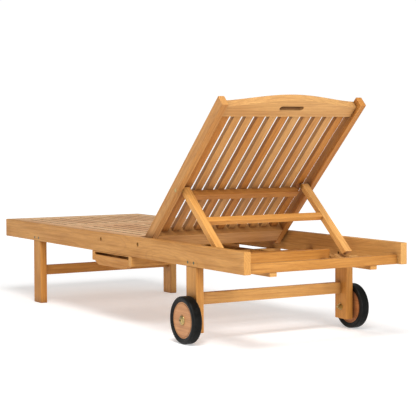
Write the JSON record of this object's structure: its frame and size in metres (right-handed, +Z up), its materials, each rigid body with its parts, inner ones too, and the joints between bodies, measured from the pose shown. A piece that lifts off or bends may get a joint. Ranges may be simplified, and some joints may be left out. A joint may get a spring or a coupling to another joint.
{
  "type": "reclining sun lounger",
  "caption": "Slatted wooden sun lounger with a hinged backrest on a prop and toothed racks, a pull-out side tray and wheels under the head end.",
  "frame": {"origin": "middle of the footprint on the floor, under the bounding box's centre", "axes": "+Y from the foot end towards the head end, +Z up, +X towards the user's right-hand side when lying face up seen from the foot, the side that the tray pulls out of"},
  "size_m": [0.7632, 2, 0.862],
  "materials": {
    "frame_wood": "oiled teak, satin",
    "deck_wood": "pale oiled teak, satin",
    "backrest_wood": "oiled teak, satin",
    "prop_wood": "orange-tan oiled teak, satin",
    "wheel_wood": "reddish hardwood, satin",
    "brass": "aged brass",
    "tyre": "black rubber, matt"
  },
  "bodies": {
    "frame": {"side_rail_left": "frame_wood", "side_rail_right": "frame_wood", "foot_end_rail": "frame_wood", "head_end_rail": "frame_wood", "head_cross_rail": "frame_wood", "rack_rear_rail": "frame_wood", "rack_left": "frame_wood", "rack_right": "frame_wood", "underside_battens": "frame_wood", "leg_foot_left": "frame_wood", "leg_foot_right": "frame_wood", "leg_head_left": "frame_wood", "leg_head_right": "frame_wood", "foot_stretcher": "frame_wood", "head_stretcher": "frame_wood", "tray_guide_foot": "frame_wood", "tray_guide_head": "frame_wood", "tray_headers": "frame_wood", "seat_edge_strip_left": "deck_wood", "seat_edge_strip_right": "deck_wood", "seat_cross_rails": "deck_wood", "seat_bearers": "frame_wood", "hinge_bearer": "frame_wood", "foot_section_slats": "deck_wood", "rear_section_slats": "deck_wood", "leg_pins": "brass", "bearer_bolts": "brass", "hinge_bolts": "brass", "hinge_washers": "brass", "axle_bolts": "brass", "axle_washers": "brass", "axle_nuts": "brass"},
    "backrest": {"backrest_stile_left": "backrest_wood", "backrest_stile_right": "backrest_wood", "backrest_crest_rail": "backrest_wood", "backrest_bottom_rail": "backrest_wood", "backrest_slats": "backrest_wood", "prop_batten": "backrest_wood", "hinge_inserts": "brass", "prop_pivot_bolts": "brass", "prop_spacers": "brass", "prop_nuts": "brass"},
    "prop": {"prop_leg_left": "prop_wood", "prop_leg_right": "prop_wood", "prop_cross_bar": "prop_wood", "prop_bushes": "brass"},
    "tray": {"tray_front_board": "frame_wood", "tray_back_board": "frame_wood", "tray_runners": "frame_wood", "tray_slats": "frame_wood", "tray_stop_bar": "frame_wood", "tray_stop_block": "frame_wood"},
    "wheel_left": {"tyre_left": "tyre", "wheel_disc_left": "wheel_wood", "wheel_bush_left": "brass"},
    "wheel_right": {"tyre_right": "tyre", "wheel_disc_right": "wheel_wood", "wheel_bush_right": "brass"}
  },
  "joints": [
    {"name": "backrest_recline", "type": "hinge", "parent": "frame", "child": "backrest", "pos_m": [0, 0.268, 0.316], "axis": [1, 0, 0], "range_deg": [-44, 28]},
    {"name": "prop_fold", "type": "hinge", "parent": "backrest", "child": "prop", "pos_m": [0, 0.49229, 0.52425], "axis": [1, 0, 0], "range_deg": [-55, 86]},
    {"name": "tray_slide", "type": "slide", "parent": "frame", "child": "tray", "axis": [1, 0, 0], "range_m": [0, 0.3]},
    {"name": "wheel_left_spin", "type": "hinge", "parent": "frame", "child": "wheel_left", "pos_m": [0.358, 0.657, 0.083], "axis": [1, 0, 0], "continuous": true},
    {"name": "wheel_right_spin", "type": "hinge", "parent": "frame", "child": "wheel_right", "pos_m": [-0.358, 0.657, 0.083], "axis": [1, 0, 0], "continuous": true}
  ],
  "couplings": [
    {"joint": "prop_fold", "follows": "backrest_recline", "ratio": -1.9318}
  ]
}
